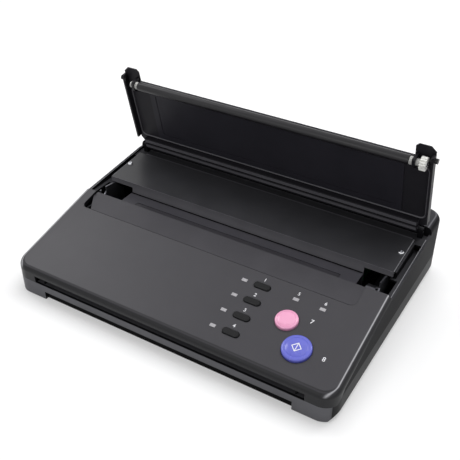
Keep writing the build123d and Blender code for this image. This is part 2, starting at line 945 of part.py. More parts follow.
def gear(y, z, teeth, phase, x0, bore):
    """A spur gear along X with flanks drawn through the involute at root, pitch and tip."""
    pitch = pitch_radius(teeth)
    pressure = radians(pressure_angle)
    base = pitch * cos(pressure)
    tip = pitch + 0.7 * gear_module
    root = pitch - 1.0 * gear_module
    half_tooth = pi / (2 * teeth) - tooth_thinning / (2 * pitch)

    def flank(radius):
        roll = acos(min(1.0, base / max(radius, base)))
        return half_tooth + tan(pressure) - pressure - tan(roll) + roll

    radii = [root, pitch, tip]
    points = []
    for k in range(teeth):
        middle = phase + 2 * pi * k / teeth
        sides = [(r, middle - flank(r)) for r in radii] + [(r, middle + flank(r)) for r in radii[::-1]]
        points += [(y + r * cos(a), z + r * sin(a)) for r, a in sides]
    wheel = prism(points, x0, x0 + gear_width)
    if teeth > 2 * pinion_teeth:
        dish = flat_sided_rod(y, z, root - 1.2, x0 + gear_width - 1.2, x0 + gear_width + 1, 16)
        wheel -= dish - flat_sided_rod(y, z, bore + 1.5, x0, x0 + gear_width + 1, 12)
    if bore > 0:
        wheel -= flat_sided_rod(y, z, bore, x0 - 1, x0 + gear_width + 1, 12)
    return wheel


idler_y, idler_z = gear_centre(platen_y, platen_z, platen_teeth, idler_teeth, idler_turn)
print_y, print_z = gear_centre(idler_y, idler_z, idler_teeth, pinion_teeth, print_motor_turn)
feed_z = bed_top + feed_height
scan_y, scan_z = gear_centre(feed_y, feed_z, feed_teeth, pinion_teeth, scan_motor_turn)
idler_phase = radians(idler_turn + 180)


def platen_gear():
    phase = mesh_phase(
        idler_phase, (idler_y, idler_z), idler_teeth, (platen_y, platen_z), platen_teeth
    )
    phase -= radians(cover_closed_dip)
    return cover_place(
        gear(-platen_reach, platen_drop, platen_teeth, phase, gear_inner_x, shaft_radius)
    )


def idler_gear():
    return gear(
        idler_y, idler_z, idler_teeth, idler_phase, gear_inner_x, idler_pin_radius + running_gap
    )


def idler_pin():
    end = gear_inner_x + gear_width + 1.6
    clip_x = gear_inner_x + gear_width + 0.4
    pin = rod(idler_y, idler_z, idler_pin_radius, frame_outer_x, clip_x)
    shank = flat_sided_rod(idler_y, idler_z, idler_pin_radius, frame_inner_x, frame_outer_x, 6)
    collar = flat_sided_rod(idler_y, idler_z, 2.8, frame_outer_x, gear_inner_x - 0.3)
    return pin + shank + collar + flat_sided_rod(idler_y, idler_z, 2.6, clip_x, end)


def pinion(y, z, phase, side):
    """A motor's pinion with the length of shaft that turns in the motor's nose."""
    inner = frame_inner_x - 4.0
    teeth = gear(y, z, pinion_teeth, phase, gear_inner_x, 0)
    teeth += rod(y, z, motor_shaft_radius - running_gap, inner, gear_inner_x)
    return teeth if side > 0 else mirror(teeth, about=Plane.YZ)


def print_pinion():
    phase = mesh_phase(
        idler_phase, (idler_y, idler_z), idler_teeth, (print_y, print_z), pinion_teeth
    )
    return pinion(print_y, print_z, phase, 1)


def scan_pinion():
    phase = mesh_phase(0.0, (feed_y, feed_z), feed_teeth, (scan_y, scan_z), pinion_teeth)
    return pinion(scan_y, scan_z, phase, -1)


def motor(y, z, radius, side):
    """A can motor with mounting ears, on the inner face of the side frame."""
    x1 = frame_inner_x
    x0 = x1 - motor_length
    can = flat_sided_rod(y, z, radius, x0, x1, 16)
    ear = block(x1 - 1.0, x1, y - radius - 4.5, y + radius + 4.5, z - 3.2, z + 3.2)
    plug = block(x0 - 2.5, x0 + 4, y - 4, y + 4, z - radius + 1, z - radius + 5)
    hole = flat_sided_rod(y, z, motor_shaft_radius + running_gap, x1 - 5.0, x1 + 1)
    body = can + ear + plug - hole
    return body if side > 0 else mirror(body, about=Plane.YZ)


# ---- side frames ----
def side_frame(side):
    """The sheet plate that carries rollers, gears and motor, on its inturned foot."""
    x0 = frame_inner_x
    x1 = frame_outer_x
    slot_half = bush_radius / cos(pi / bush_sides) + body_gap
    prong = slot_half + 2.0
    outline = [
        (frame_front, tray_floor),
        (frame_rear, tray_floor),
        (frame_rear, frame_low + 2.0),
        (frame_rear - 14.0, frame_top - 2.0),
        (platen_y + prong, frame_top),
        (platen_y - prong, frame_top),
        (platen_y - prong, frame_ledge),
        (feed_y + 24.0, frame_ledge),
        (frame_front, frame_low),
    ]
    plate = prism(outline, x0, x1)
    plate += block(x0 - 8, x0 + 0.5, frame_front + 4, frame_rear - 2, tray_floor, tray_floor + sheet)
    plate -= flat_sided_rod(platen_y, platen_z, slot_half, x0 - 1, x1 + 1, 12)
    slot_y = (platen_y - slot_half, platen_y + slot_half)
    plate -= block(x0 - 1, x1 + 1, *slot_y, platen_z, frame_top + 1)
    plate -= flat_sided_rod(feed_y, feed_z, feed_bush_radius, x0 - 1, x1 + 1, 6)
    for y, z, radius, hand in frame_bores():
        if hand == side:
            plate -= flat_sided_rod(y, z, radius, x0 - 1, x1 + 1, 6)
    return plate if side > 0 else mirror(plate, about=Plane.YZ)


def frame_bores():
    """Holes through the side frames: place, radius and the side they are in."""
    return [
        (idler_y, idler_z, idler_pin_radius, 1),
        (print_y, print_z, motor_shaft_radius + 1.2, 1),
        (scan_y, scan_z, motor_shaft_radius + 1.2, -1),
    ]


# ---- document path ----
def document_bed():
    half = slot_width / 2 - 0.3
    y0 = front + wall
    y1 = rear - wall
    bed = block(-half, half, y0, y1, bed_top - bed_thickness, bed_top)
    window = sensor_width / 2 + 0.5
    depth = sensor_depth / 2 + 0.5
    bed -= block(-window, window, feed_y - depth, feed_y + depth, 0, bed_top + 1)
    for x in (-100.0, -60.0, -20.0, 20.0, 60.0, 100.0):
        rib = block(x - 0.6, x + 0.6, feed_y + 14, y1 - 6, bed_top - 0.1, bed_top + 0.4)
        bed += rib
    return bed


def guide_plate(y0, y1):
    """A paper guide over the bed, standing on its two side rails."""
    half = guide_half_width
    plate = block(-half, half, y0, y1, guide_bottom, guide_top)
    rail = block(half - 1.5, half, y0, y1, bed_top, guide_bottom + 0.1)
    return plate + mirrored(rail)


def front_guide():
    clear = feed_radius + 1.0
    guide = guide_plate(front + wall + 0.6, feed_y - clear)
    lead = prism(
        [
            (front, guide_bottom - 0.1),
            (front + wall + 5.0, guide_bottom - 0.1),
            (front, guide_bottom + 0.5),
        ],
        -guide_half_width,
        guide_half_width,
    )
    return guide - lead


def rear_guide():
    return guide_plate(feed_y + feed_radius + 1.0, rear - wall - 0.5)


def sensor_housing():
    half = sensor_width / 2
    depth = sensor_depth / 2
    top = bed_top - glass_thickness
    body = block(-half, half, feed_y - depth, feed_y + depth, sensor_bottom, top)
    body -= block(-half + 3, half - 3, feed_y - 3.0, feed_y + 3.0, top - 4.0, top + 1)
    plug = block(half - 30, half - 12, feed_y + depth, feed_y + depth + 4, sensor_bottom, 8.5)
    return body + plug


def sensor_glass():
    half = sensor_width / 2
    depth = sensor_depth / 2
    return block(-half, half, feed_y - depth, feed_y + depth, bed_top - glass_thickness, bed_top)


def sensor_springs():
    """Two bowed leaf springs that hold the sensor up against the paper."""
    low = tray_floor
    high = sensor_bottom
    leaf = 0.4
    points = [
        (feed_y - 6.0, low),
        (feed_y - 5.0, low),
        (feed_y - 1.5, high - leaf),
        (feed_y + 1.5, high - leaf),
        (feed_y + 5.0, low),
        (feed_y + 6.0, low),
        (feed_y + 6.0, low + leaf),
        (feed_y + 5.2, low + leaf),
        (feed_y + 1.8, high),
        (feed_y - 1.8, high),
        (feed_y - 5.2, low + leaf),
        (feed_y - 6.0, low + leaf),
    ]
    return [prism(points, x - 5, x + 5) for x in (-70.0, 70.0)]


def feed_rubber():
    half = feed_length / 2
    sleeve = rod(feed_y, feed_z, feed_radius, -half, half)
    return sleeve - flat_sided_rod(feed_y, feed_z, feed_shaft_radius, -half - 1, half + 1, 12)


def feed_shaft():
    end = gear_inner_x + gear_width + 0.4
    other = frame_outer_x + 1.2
    return rod(feed_y, feed_z, feed_shaft_radius, -end, other)


def feed_bushes():
    x0 = frame_inner_x - 3.0
    bush = flat_sided_rod(feed_y, feed_z, feed_bush_radius, x0, frame_outer_x, 6)
    bush -= flat_sided_rod(feed_y, feed_z, feed_shaft_radius + running_gap, 0, frame_outer_x + 1, 12)
    return [bush, mirror(bush, about=Plane.YZ)]


def feed_gear():
    wheel = gear(feed_y, feed_z, feed_teeth, 0.0, gear_inner_x, feed_shaft_radius)
    return mirror(wheel, about=Plane.YZ)


# ---- print head ----
def head_beam():
    """The channel under the head that its springs stand on."""
    half = head_length / 2 + 8
    y0 = heatsink_front + 1.2
    y1 = heatsink_rear - 1.2
    beam = block(-half, half, y0, y1, guide_top, beam_level)
    beam -= block(-half - 1, half + 1, y0 + sheet, y1 - sheet, guide_top - 1, beam_level - sheet)
    for x in (-80, 0, 80):
        beam -= block(x - 16, x + 16, y0 - 1, y1 + 1, guide_top + 2.5, beam_level - sheet - 1)
    return beam


def head_springs():
    """Three bowed leaf springs between the beam and the head."""
    low = beam_level
    high = heatsink_bottom
    middle = (heatsink_front + heatsink_rear) / 2
    leaf = 0.5
    points = [
        (middle - 8.0, low),
        (middle - 6.5, low),
        (middle - 2.0, high - leaf),
        (middle + 2.0, high - leaf),
        (middle + 6.5, low),
        (middle + 8.0, low),
        (middle + 8.0, low + leaf),
        (middle + 6.8, low + leaf),
        (middle + 2.2, high),
        (middle - 2.2, high),
        (middle - 6.8, low + leaf),
        (middle - 8.0, low + leaf),
    ]
    return [prism(points, x - 6, x + 6) for x in (-85.0, 0.0, 85.0)]


def heat_sink():
    half = head_length / 2
    bar = block(-half, half, heatsink_front, heatsink_rear, heatsink_bottom, heatsink_top)
    step = head_top - bead_height - ceramic_thickness
    bar += block(-half, half, head_front, head_rear, heatsink_top - 0.1, step)
    for k in range(4):
        y = heatsink_front + 4.6 + 5.0 * k
        bar -= block(-half - 1, half + 1, y, y + 2.0, heatsink_bottom + 1.5, heatsink_top - 3.5)
    return bar


def heater_board():
    """The ceramic board with its raised heating line under the platen."""
    half = head_length / 2
    top = head_top - bead_height
    board = block(-half, half, head_front, head_rear, top - ceramic_thickness, top)
    bead = prism(
        [
            (platen_y - 1.6, top - 0.1),
            (platen_y - 0.7, head_top),
            (platen_y + 0.7, head_top),
            (platen_y + 1.6, top - 0.1),
        ],
        -sheet_width / 2,
        sheet_width / 2,
    )
    return board + bead


# ---- boards ----
main_board_left = boards_split_x - boards_space / 2 - main_board_width
power_board_left = boards_split_x + boards_space / 2


def standoff_places():
    spans = ((main_board_left, main_board_width), (power_board_left, power_board_width))
    across = [x for left, width in spans for x in (left + post_inset, left + width - post_inset)]
    along = (boards_front + post_inset, boards_front + boards_depth - post_inset)
    return [(x, y) for x in across for y in along]


def board_standoffs():
    peg = extrude(RegularPolygon(2.8, 6), amount=boards_level - guide_top)
    return [Pos(x, y, guide_top) * peg for x, y in standoff_places()]


def fitted_board(left, width, square_parts, round_parts):
    """A circuit board with its parts, which are placed from the board's front left corner."""
    top = board_thickness - 0.05
    board = block(0, width, 0, boards_depth, 0, board_thickness)
    for x, y, across, along, height in square_parts:
        board += block(x, x + across, y, y + along, top, top + height)
    for x, y, radius, height in round_parts:
        board += Pos(x, y, top) * extrude(many_sided(radius), amount=height)
    return Pos(left, boards_front, boards_level) * board


def main_board():
    """The control board: processor, memory, driver, four connectors and its capacitors."""
    chips = [(46, 20, 28, 28, 2.2), (86, 26, 18, 12, 2), (110, 50, 18, 12, 2)]
    connectors = [(12, 6, 20, 6, 7), (46, 2, 50, 5, 8), (116, 4, 16, 6, 7), (6, 30, 8, 24, 12)]
    cans = [(24, 40, 5, 14), (24, 54, 5, 14), (96, 58, 4, 10), (130, 34, 4, 10)]
    return fitted_board(main_board_left, main_board_width, chips + connectors, cans)


def power_board():
    """The supply: transformer, upright heat sink, relay, connector and its capacitors."""
    squares = [(20, 10, 32, 26, 22), (62, 6, 4, 40, 20), (74, 10, 10, 16, 12), (8, 48, 8, 18, 9)]
    cans = [(40, 54, 9, 24), (64, 58, 6, 18), (80, 42, 5, 16)]
    return fitted_board(power_board_left, power_board_width, squares, cans)


# ---- rear fittings ----
def mains_inlet():
    """A three-pin appliance inlet, flush with the back wall."""
    w = inlet_width - 0.4
    h = inlet_height - 0.4
    body = block(-w / 2, w / 2, rear - inlet_depth, rear, -h / 2, h / 2)
    body = chamfer(body.edges().filter_by(Axis.Y).group_by(Axis.Z)[-1], 1.0)
    cavity = block(-12, 12, rear - 16, rear + 1, -8, 8)
    corners = [e for e in cavity.edges().filter_by(Axis.Y) if e.center().Z > 0]
    body -= chamfer(corners, 4.5)
    collar = block(-w / 2 - 2.5, w / 2 + 2.5, rear - wall - 2.4, rear - wall, -h / 2 - 2, h / 2 + 2)
    body += collar - block(-w / 2 + 1, w / 2 - 1, rear - 30, rear + 1, -h / 2 + 1, h / 2 - 1)
    for x, z in ((-7.0, -2.0), (7.0, -2.0), (0.0, 3.0)):
        body += block(x - 1.0, x + 1.0, rear - 20, rear - 3, z - 2.0, z + 2.0)
        body += block(x - 0.8, x + 0.8, rear - inlet_depth - 7, rear - inlet_depth + 1, z - 2.0, z + 2.0)
    return Pos(inlet_x, 0, inlet_z) * body


def switch_bezel():
    w = switch_width - 0.4
    h = switch_height - 0.4
    body = block(-w / 2, w / 2, rear - 16, rear, -h / 2, h / 2)
    room = block(-w / 2 + 1.3, w / 2 - 1.3, rear - 13, rear + 1, -h / 2 + 1.3, h / 2 - 1.3)
    collar = block(-w / 2 - 2, w / 2 + 2, rear - wall - 2, rear - wall, -h / 2 - 2, h / 2 + 2)
    body = (body + collar) - room
    for side in (-1, 1):
        x0 = side * (w / 2 - 1.2)
        x1 = side * (w / 2 - 2.2)
        body += flat_sided_rod(rocker_axis_y, 0, 0.82, min(x0, x1), max(x0, x1))
    for x in (-3.0, 3.0):
        body += block(x - 0.4, x + 0.4, rear - 24, rear - 15, -2.4, 2.4)
    return Pos(switch_x, 0, inlet_z) * body


def switch_rocker():
    """The rocker, standing at its mid position between off and on."""
    w = switch_width - 0.4 - 2.6 - 0.7
    h = switch_height - 0.4 - 2.6 - 1.4
    outline = [
        (rear - 8.5, -h / 2 + 1.6),
        (rear - 1.2, -h / 2),
        (rear - 2.4, 0),
        (rear - 1.2, h / 2),
        (rear - 8.5, h / 2 - 1.6),
    ]
    rocker = prism(outline, -w / 2, w / 2)
    rocker -= rod(rocker_axis_y, 0, 0.85 + running_gap, -w / 2 - 1, -w / 2 + 1.3)
    rocker -= rod(rocker_axis_y, 0, 0.85 + running_gap, w / 2 - 1.3, w / 2 + 1)
    return Pos(switch_x, 0, inlet_z) * rocker


# ---- screws through the tray into the housing ----
def case_screw_places():
    x = half_width - case_screw_inset
    along = (front + case_screw_front_inset, rear - case_screw_rear_inset)
    return [(side * x, y) for side in (-1, 1) for y in along]


def case_screws():
    """Screws with socket heads, sunk into the tray's bosses."""
    head = extrude(many_sided(2.7, 12), amount=2.2)
    head -= Pos(0, 0, 0.9) * extrude(many_sided(1.2, 6), amount=2)
    screw = Rot(180, 0, 0) * (head + Pos(0, 0, -15) * extrude(many_sided(1.4, 6), amount=15))
    return [Pos(x, y, case_screw_level) * screw for x, y in case_screw_places()]


def every_part():
    right_knob = latch_knob()
    places = key_places()
    return {
        "bottom_tray": bottom_tray(),
        "rubber_feet": rubber_feet(),
        "side_housing": side_housing(),
        "panel_cover": panel_cover(),
        "exit_ramp": exit_ramp(),
        "trough_floor": trough_floor(),
        "rear_deck": rear_deck(),
        "deck_screws": deck_screws(),
        "case_screws": case_screws(),
        "hinge_pins": hinge_pins(),
        "side_frame_left": side_frame(-1),
        "side_frame_right": side_frame(1),
        "document_bed": document_bed(),
        "front_guide": front_guide(),
        "rear_guide": rear_guide(),
        "sensor_housing": sensor_housing(),
        "sensor_glass": sensor_glass(),
        "sensor_springs": sensor_springs(),
        "feed_bushes": feed_bushes(),
        "head_beam": head_beam(),
        "print_motor": motor(print_y, print_z, print_motor_radius, 1),
        "scan_motor": motor(scan_y, scan_z, scan_motor_radius, -1),
        "idler_pin": idler_pin(),
        "panel_board": panel_board(),
        "lamp_windows": lamp_windows(),
        "tact_switches": tact_switches(),
        "board_standoffs": board_standoffs(),
        "main_board": main_board(),
        "power_board": power_board(),
        "mains_inlet": mains_inlet(),
        "switch_bezel": switch_bezel(),
        "switch_rocker": switch_rocker(),
        "cover_shell": cover_shell(),
        "cover_liner": cover_liner(),
        "platen_brackets": platen_brackets(),
        "platen_bushes": platen_bushes(),
        "latch_knob_right": right_knob,
        "latch_knob_left": mirror(right_knob, about=Plane.YZ),
        "platen_rubber": platen_rubber(),
        "platen_shaft": platen_shaft(),
        "platen_gear": platen_gear(),
        "idler_gear": idler_gear(),
        "print_pinion": print_pinion(),
        "feed_rubber": feed_rubber(),
        "feed_shaft": feed_shaft(),
        "feed_gear": feed_gear(),
        "scan_pinion": scan_pinion(),
        "heat_sink": heat_sink(),
        "heater_board": heater_board(),
        "head_springs": head_springs(),
        "mode_key_1": on_panel(key_cap(), *places[0]),
        "mode_key_2": on_panel(key_cap(), *places[1]),
        "mode_key_3": on_panel(key_cap(), *places[2]),
        "mode_key_4": on_panel(key_cap(), *places[3]),
        "stop_button": on_panel(round_button(stop_radius, button_height), stop_x, stop_v),
        "copy_button": on_panel(round_button(copy_radius, button_height), copy_x, copy_v),
    }


for name, shape in every_part().items():
    if isinstance(shape, list):
        shape = Compound(children=shape)
    export_step(shape, "parts/" + name + ".step")
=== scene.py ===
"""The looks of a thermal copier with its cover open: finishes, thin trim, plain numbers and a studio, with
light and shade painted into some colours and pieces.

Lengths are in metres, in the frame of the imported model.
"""
import math

import bmesh
import bpy
from mathutils import Matrix, Vector


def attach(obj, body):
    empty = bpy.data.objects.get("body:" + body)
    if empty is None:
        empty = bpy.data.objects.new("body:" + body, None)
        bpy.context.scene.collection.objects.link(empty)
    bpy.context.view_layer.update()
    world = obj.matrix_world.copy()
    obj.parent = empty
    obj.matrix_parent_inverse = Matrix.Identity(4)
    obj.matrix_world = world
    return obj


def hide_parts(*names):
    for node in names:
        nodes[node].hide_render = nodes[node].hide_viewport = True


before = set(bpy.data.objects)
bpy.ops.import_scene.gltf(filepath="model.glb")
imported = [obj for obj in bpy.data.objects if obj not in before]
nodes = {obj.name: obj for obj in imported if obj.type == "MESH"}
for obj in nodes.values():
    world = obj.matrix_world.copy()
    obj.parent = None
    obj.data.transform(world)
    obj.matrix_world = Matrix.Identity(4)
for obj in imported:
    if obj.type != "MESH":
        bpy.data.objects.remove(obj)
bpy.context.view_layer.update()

# ---- places taken from the model ----
PANEL_SLOPE = math.radians(12.6)
PANEL_ORIGIN = Vector((0.0, -0.060, 0.047))
KEY_X = 0.0649
FIRST_ROW = 0.0095
KEY_PITCH = 0.0191
KEY_ROWS = 4
STOP_X, STOP_V = 0.103, -0.015
COPY_X, COPY_V = 0.1245, -0.038
STOP_RADIUS = 0.0107
COPY_RADIUS = 0.0136
BUTTON_TOP = 0.0034
BUTTON_FOOT = -0.0027
HINGE = Vector((0.0, 0.086, 0.0665))
COVER_LEAN = math.radians(-77.43)
COVER_INNER = 0.0013
DECK_FRONT = 0.0185
DECK_REAR = 0.071
DECK_LEVEL = 0.0595
DECK_SLOPE = math.radians(4.6)
DECK_HALF = 0.164
TROUGH_LEVEL = 0.0479
TROUGH_REAR = 0.017
HINGE_FLOOR = 0.0585
RECESS_BACK = -0.1215
RECESS_HALF = 0.1368

# ---- sizes of the trim that this script adds ----
BUTTON_ROLL = 0.0016
BUTTON_CROWN = 0.0006
RING_SHARE = 0.74
RING_WIDTH = 0.0005
RING_DEPTH = 0.00045
DOME_FALL = 0.0002
SIGN = 0.0044
SIGN_WIDTH = 0.0008
SIGN_BAR_SHARE = 0.82
SIGN_BAR_WIDTH = 0.0007
SKIN = 0.00004
INK_HEIGHT = 0.00003
INK_SPREAD = 0.00006
KEY_NUMBER_SIZE = 0.0052
KEY_NUMBER_SHIFT = -0.001
KEY_NUMBER_RISE = 0.0078
LAMP_NUMBER_SIZE = 0.0050
LAMP_NUMBER_RISE = 0.0066
LAMP_NUMBER_X = (0.0995, 0.126)
BUTTON_NUMBER_SIZE = 0.0062
STOP_NUMBER_X, STOP_NUMBER_V = 0.1235, -0.0068
COPY_NUMBER_X, COPY_NUMBER_V = 0.1495, -0.0372
FRAME_X = 0.1676
FRAME_REACH = (0.0153, 0.0805)
FRAME_CORNER = 0.006
FRAME_RADIUS = 0.0009
EDGE_RADIUS = 0.0004
WALL_EDGE_X = 0.1729
WALL_EDGE = ((-0.0112, 0.0530), (0.020, 0.0558), (0.060, 0.0593), (0.080, 0.0610))
STRIP_FRONT, STRIP_REAR = 0.0712, 0.0790
STRIP_TOP = 0.0597
STRIP_CUT = (0.0004, 0.0003)
STRIP_HALF = 0.1600
CAP_REACHES = (("lower", 0.0026, 0.0059), ("upper", 0.0091, 0.0129))
CAP_SEAT, CAP_FACE = -0.0048, -0.00505
CAP_HALF = 0.1612
# A black sheet in the finger recess and a black line at the trough's rear, both painted shade.
SHADE_SHEET_FACE = -0.1250
SHADE_SHEET_LOW, SHADE_SHEET_TOP = 0.0010, 0.0099
SHADE_SHEET_LOW_CUT, SHADE_SHEET_TOP_CUT = 0.0008, 0.0007
SHADOW_LINE_HALF = 0.1355
SHADOW_LINE_WIDTH = 0.0017
SHADOW_LINE_HEIGHT = 0.00015

# ---- grain and mottling of moulded plastic, as scales of noise over a metre ----
MOTTLE_SCALE = 34.0
PATCH_SCALE = 9.0
GRAIN_SCALE = 1700.0
FINE_GRAIN_SCALE = 2600.0
ACETAL_GRAIN_SCALE = 2200.0
GRAIN_DEPTH = 0.00004
GRAIN_STRENGTH = 0.35
GLOSS_CHANGE = 0.025


def srgb(r, g, b):
    """A linear colour from 0 to 255 display values."""
    linear = [((v / 255 + 0.055) / 1.055) ** 2.4 if v > 10 else v / 255 / 12.92 for v in (r, g, b)]
    return (*linear, 1.0)


def shade(colour, factor):
    return tuple(min(1.0, c * factor) for c in colour[:3]) + (1.0,)


# ---- shader nodes ----
def new_material(name):
    mat = bpy.data.materials.new(name)
    mat.use_nodes = True
    tree = mat.node_tree
    shader = tree.nodes["Principled BSDF"]
    return mat, tree, shader


def object_coords(tree):
    return tree.nodes.new("ShaderNodeTexCoord").outputs["Object"]


def parts_of(tree, vector):
    """The X, Y and Z of a vector."""
    node = tree.nodes.new("ShaderNodeSeparateXYZ")
    tree.links.new(vector, node.inputs[0])
    return node.outputs


def facing(tree):
    """The surface's direction in the part's own frame, as X, Y and Z."""
    return parts_of(tree, tree.nodes.new("ShaderNodeTexCoord").outputs["Normal"])


def noise(tree, vector, scale, detail=3.0, rough=0.55):
    node = tree.nodes.new("ShaderNodeTexNoise")
    node.inputs["Scale"].default_value = scale
    node.inputs["Detail"].default_value = detail
    node.inputs["Roughness"].default_value = rough
    tree.links.new(vector, node.inputs["Vector"])
    return node.outputs["Fac"]


def spread(tree, value, low, high, start=0.3, end=0.7):
    """Maps a value between start and end onto low to high."""
    node = tree.nodes.new("ShaderNodeMapRange")
    node.inputs["From Min"].default_value = start
    node.inputs["From Max"].default_value = end
    node.inputs["To Min"].default_value = low
    node.inputs["To Max"].default_value = high
    tree.links.new(value, node.inputs["Value"])
    return node.outputs["Result"]


def calculate(tree, operation, *values):
    node = tree.nodes.new("ShaderNodeMath")
    node.operation = operation
    for value, socket in zip(values, node.inputs):
        tree.links.new(value, socket)
    return node.outputs[0]


def ramp_colour(tree, value, colours):
    """A colour ramp through (place, colour) pairs."""
    node = tree.nodes.new("ShaderNodeValToRGB")
    ramp = node.color_ramp
    for index, (place, colour) in enumerate(colours):
        stop = ramp.elements[index] if index < 2 else ramp.elements.new(place)
        stop.position = place
        stop.color = colour
    tree.links.new(value, node.inputs["Fac"])
    return node.outputs["Color"]


def mix_colours(tree, first, second, factor=None, blend="MIX"):
    """Two colours mixed by a factor that varies, or fully blended where none is given."""
    node = tree.nodes.new("ShaderNodeMix")
    node.data_type = "RGBA"
    node.blend_type = blend
    node.inputs["Factor"].default_value = 1.0
    if factor is not None:
        tree.links.new(factor, node.inputs["Factor"])
    tree.links.new(first, node.inputs["A"])
    tree.links.new(second, node.inputs["B"])
    return node.outputs["Result"]


def mottled(tree, where, colour, amount=0.1):
    """A colour with faint clouds in it, as moulded plastic has."""
    cloud = noise(tree, where, MOTTLE_SCALE, 4.0)
    return ramp_colour(tree, cloud, [(0.25, shade(colour, 1 - amount)), (0.75, shade(colour, 1 + amount))])


def bump(tree, shader, height, strength, distance):
    node = tree.nodes.new("ShaderNodeBump")
    node.inputs["Strength"].default_value = strength
    node.inputs["Distance"].default_value = distance
    tree.links.new(height, node.inputs["Height"])
    tree.links.new(node.outputs["Normal"], shader.inputs["Normal"])


def satin_finish(tree, shader, where, roughness, specular, change=GLOSS_CHANGE, grain=GRAIN_SCALE,
                 depth=GRAIN_DEPTH):
    """Fine spark-eroded grain, with handled patches in the gloss."""
    patches = noise(tree, where, PATCH_SCALE, 5.0, 0.65)
    gloss = spread(tree, patches, roughness - change, roughness + change)
    tree.links.new(gloss, shader.inputs["Roughness"])
    shader.inputs["Specular IOR Level"].default_value = specular
    bump(tree, shader, noise(tree, where, grain, 2.0), GRAIN_STRENGTH, depth)


# ---- materials ----
def moulded(name, colour, roughness, specular, grain=GRAIN_SCALE, depth=GRAIN_DEPTH):
    """Moulded plastic in one colour."""
    mat, tree, shader = new_material(name)
    where = object_coords(tree)
    tree.links.new(mottled(tree, where, colour), shader.inputs["Base Color"])
    satin_finish(tree, shader, where, roughness, specular, grain=grain, depth=depth)
    return mat


def panel_plastic(name, top, face, highlight_line_colour, roughness, specular):
    """The panel's plastic with painted light and shade: paler on top than on its skirt by the way it faces,
    with painted reflection bands over the front roll and a painted highlight line along its side edges.
    """
    mat, tree, shader = new_material(name)
    where = object_coords(tree)
    direction = facing(tree)
    turned_aside = calculate(tree, "ABSOLUTE", direction["X"])
    # Going over the front roll: the top, a painted dark reflection line where it starts to turn, the roll
    # with a paler painted reflection, the skirt in painted shade.
    front = ramp_colour(tree, spread(tree, direction["Y"], 0.0, 1.0, 0.0, -1.0),
                        [(0.25, top), (0.34, shade(top, 0.42)), (0.52, shade(top, 0.9)), (0.7, face)])
    # Going over a side edge: the top, a pale painted highlight line, the roll, the side in painted shade.
    side = ramp_colour(tree, turned_aside,
                       [(0.22, top), (0.36, highlight_line_colour), (0.5, shade(top, 0.8)), (0.75, face)])
    cloud = noise(tree, where, MOTTLE_SCALE, 4.0)
    wall = ramp_colour(tree, cloud, [(0.25, shade(face, 0.95)), (0.75, shade(face, 1.05))])
    # Faces turned up take the paler top colour and walls take the dark face colour: painted shade by facing.
    sideways = spread(tree, turned_aside, 0.0, 1.0, 0.12, 0.3)
    upward = spread(tree, direction["Z"], 0.0, 1.0, 0.15, 0.5)
    tint = mix_colours(tree, wall, mix_colours(tree, front, side, sideways), upward)
    grain = ramp_colour(tree, cloud, [(0.25, (0.9, 0.9, 0.9, 1)), (0.75, (1, 1, 1, 1))])
    tree.links.new(mix_colours(tree, tint, grain, blend="MULTIPLY"), shader.inputs["Base Color"])
    satin_finish(tree, shader, where, roughness, specular)
    return mat


def tray_plastic(name, front, rest, roughness, specular):
    """The tray's plastic: pale only on faces turned forward as painted light, black on other faces and in
    its finger recess as painted shade.
    """
    mat, tree, shader = new_material(name)
    where = object_coords(tree)
    # Faces turned forward and lying outside the finger recess get the pale colour as painted light; the
    # rest, recess included, stays black as painted shade.
    ahead = spread(tree, facing(tree)["Y"], 0.0, 1.0, -0.45, -0.75)
    depth = parts_of(tree, where)["Y"]
    outer = spread(tree, depth, 1.0, 0.0, RECESS_BACK - 0.0006, RECESS_BACK - 0.0002)
    band = calculate(tree, "MULTIPLY", ahead, outer)
    tint = mix_colours(tree, mottled(tree, where, rest), mottled(tree, where, front), band)
    tree.links.new(tint, shader.inputs["Base Color"])
    satin_finish(tree, shader, where, roughness, specular)
    return mat


def deck_plastic(name, top, wall, roughness, specular):
    """The deck's dark satin plastic, painted paler on the wall that turns down into the trough, as painted
    light on that shaded wall.
    """
    mat, tree, shader = new_material(name)
    where = object_coords(tree)
    # The wall in front of the deck's front edge gets the paler colour: painted light.
    behind = spread(tree, parts_of(tree, where)["Y"], 0.0, 1.0, DECK_FRONT - 0.0004, DECK_FRONT + 0.0006)
    tint = mix_colours(tree, mottled(tree, where, wall, 0.08), mottled(tree, where, top, 0.12), behind)
    tree.links.new(tint, shader.inputs["Base Color"])
    satin_finish(tree, shader, where, roughness, specular, change=0.065, depth=0.00003)
    return mat


def button_plastic(name, core, rim, radius, centre):
    """Glossy tinted plastic that deepens towards the button's edge."""
    mat, tree, shader = new_material(name)
    where = object_coords(tree)
    distance = tree.nodes.new("ShaderNodeVectorMath")
    distance.operation = "DISTANCE"
    tree.links.new(where, distance.inputs[0])
    distance.inputs[1].default_value = centre
    fade = spread(tree, distance.outputs["Value"], 0.0, 1.0, radius * 0.62, radius * 1.02)
    tint = ramp_colour(tree, fade, [(0.0, core), (1.0, rim)])
    cloud = ramp_colour(tree, noise(tree, where, 120.0), [(0.2, (0.95, 0.95, 0.95, 1)), (0.8, (1, 1, 1, 1))])
    tree.links.new(mix_colours(tree, tint, cloud, blend="MULTIPLY"), shader.inputs["Base Color"])
    tree.links.new(spread(tree, noise(tree, where, 40.0), 0.2, 0.3), shader.inputs["Roughness"])
    shader.inputs["Coat Weight"].default_value = 0.25
    shader.inputs["Coat Roughness"].default_value = 0.12
    bump(tree, shader, noise(tree, where, 1500.0), 0.15, 0.00002)
    return mat


